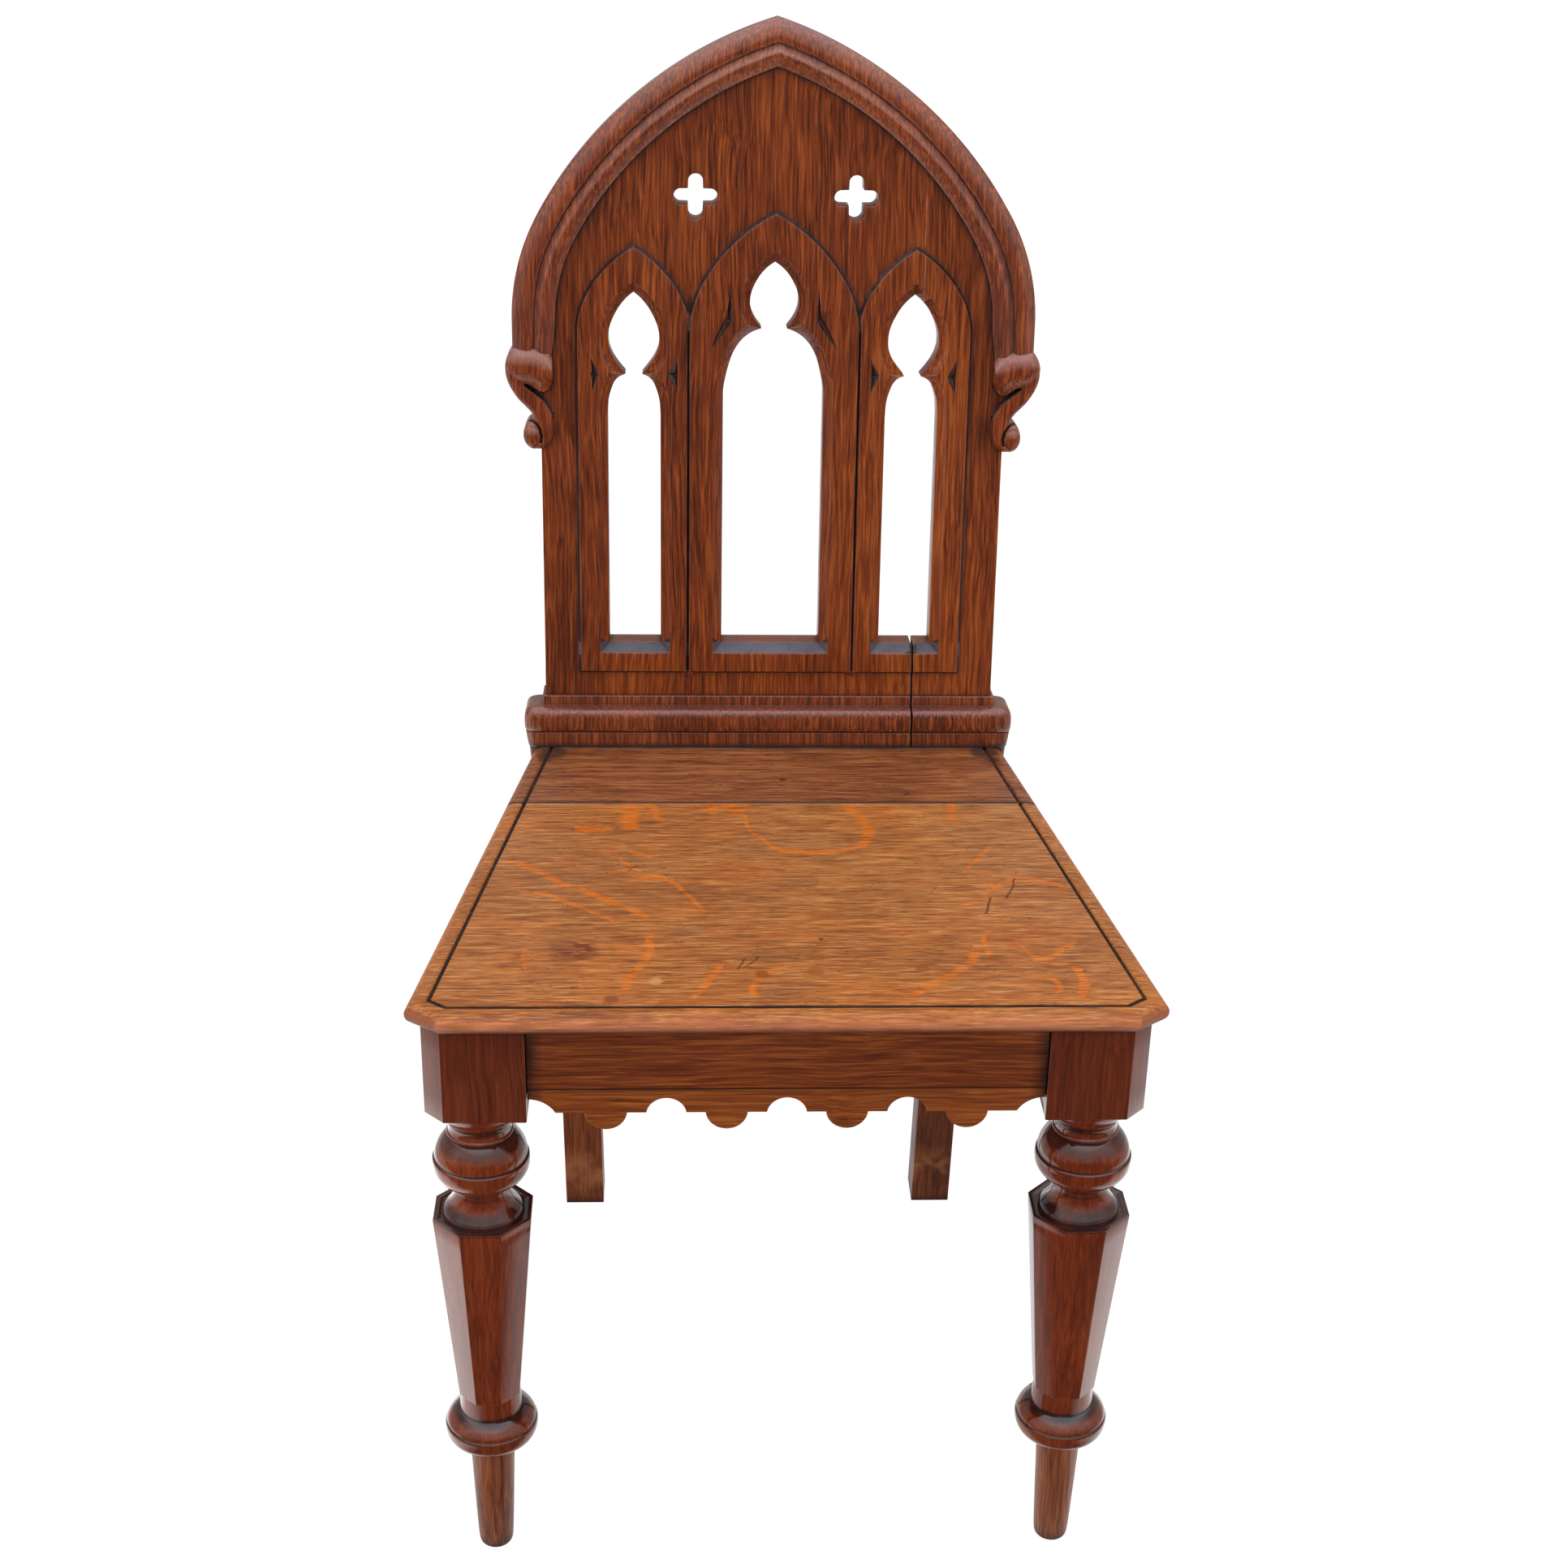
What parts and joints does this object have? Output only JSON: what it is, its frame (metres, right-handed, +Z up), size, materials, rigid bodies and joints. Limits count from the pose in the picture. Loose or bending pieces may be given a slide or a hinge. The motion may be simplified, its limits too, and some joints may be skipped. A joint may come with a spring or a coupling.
{
  "type": "hall chair",
  "caption": "Gothic Revival oak hall chair: flat seat with rounded edge, turned and octagonal front legs, splayed rear legs, raked lancet-pierced back under a moulded arch with scrolls.",
  "frame": {"origin": "on the floor, at the middle of the chair's overall footprint", "axes": "+Z up, +Y towards the back, +X across the seat; the chair faces -Y"},
  "size_m": [0.445, 0.4504, 0.9153],
  "materials": {
    "leg_wood": "polished dark red-brown oak",
    "back_wood": "polished reddish-brown oak",
    "rail_wood": "waxed mid-brown oak",
    "seat_wood": "worn golden-orange oak with a low gloss",
    "hidden_wood": "unpolished oak",
    "screw_steel": "dulled steel"
  },
  "bodies": {
    "root": {"front_leg_left": "leg_wood", "front_leg_right": "leg_wood", "rear_leg_left": "leg_wood", "rear_leg_right": "leg_wood", "side_rail_left": "rail_wood", "side_rail_right": "rail_wood", "front_rail": "rail_wood", "front_apron": "rail_wood", "rear_rail": "hidden_wood", "seat_front_board": "seat_wood", "seat_rear_board": "seat_wood", "glue_block_1": "hidden_wood", "glue_block_2": "hidden_wood", "glue_block_3": "hidden_wood", "glue_block_4": "hidden_wood", "seat_screw_1": "screw_steel", "seat_screw_2": "screw_steel", "seat_screw_3": "screw_steel", "seat_screw_4": "screw_steel", "back_board": "back_wood", "back_board_right": "back_wood", "base_moulding": "back_wood", "base_moulding_right": "back_wood", "arch_moulding_left": "back_wood", "arch_moulding_right": "back_wood", "scroll_left": "back_wood", "scroll_right": "back_wood", "back_screw_1": "screw_steel", "back_screw_2": "screw_steel", "back_screw_3": "screw_steel", "back_screw_4": "screw_steel"}
  },
  "joints": []
}
